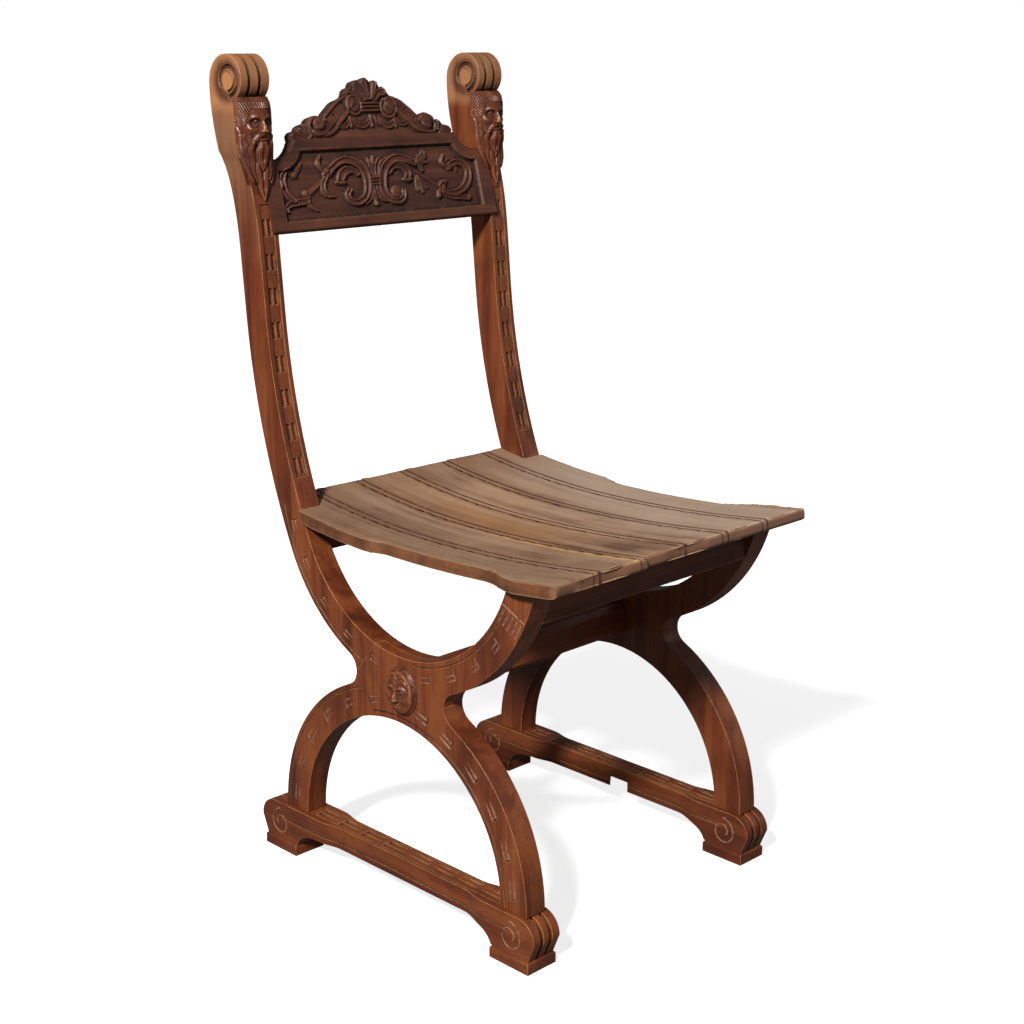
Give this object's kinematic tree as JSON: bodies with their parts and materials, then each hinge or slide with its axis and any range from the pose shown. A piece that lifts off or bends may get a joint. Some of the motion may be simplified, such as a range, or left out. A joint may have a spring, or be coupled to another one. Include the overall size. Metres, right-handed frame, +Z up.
{
  "type": "savonarola chair",
  "caption": "Side chair with two curved X-shaped side frames on scrolled foot rails, a dished seat of boards, and a carved panel with a crest between two posts that end in scrolls",
  "frame": {"origin": "on the floor, under the middle of the chair's overall box", "axes": "+X to the right as seen from the front, +Y to the back, +Z up; the chair's front faces -Y"},
  "size_m": [0.454, 0.5913, 1.014],
  "materials": {
    "frame_wood": "reddish-brown walnut, waxed, worn golden along the arrises",
    "panel_wood": "darker brown walnut, waxed, carved",
    "seat_wood": "grey-brown walnut boards, worn, with lighter end grain",
    "dowel_wood": "plain unstained pegs and dowels, hidden in the joints"
  },
  "bodies": {
    "root": {"left_post_leg": "frame_wood", "left_arm_leg": "frame_wood", "left_foot_rail": "frame_wood", "left_front_pad": "frame_wood", "left_rear_pad": "frame_wood", "left_mask": "frame_wood", "right_post_leg": "frame_wood", "right_arm_leg": "frame_wood", "right_foot_rail": "frame_wood", "right_front_pad": "frame_wood", "right_rear_pad": "frame_wood", "right_mask": "frame_wood", "center_stretcher": "frame_wood", "front_seat_rail": "frame_wood", "rear_seat_rail": "frame_wood", "seat_slat_1": "seat_wood", "seat_slat_2": "seat_wood", "seat_slat_3": "seat_wood", "seat_slat_4": "seat_wood", "seat_slat_5": "seat_wood", "seat_slat_6": "seat_wood", "back_panel": "panel_wood", "back_crest": "panel_wood", "crest_dowels": "dowel_wood", "seat_pegs": "dowel_wood"}
  },
  "joints": []
}
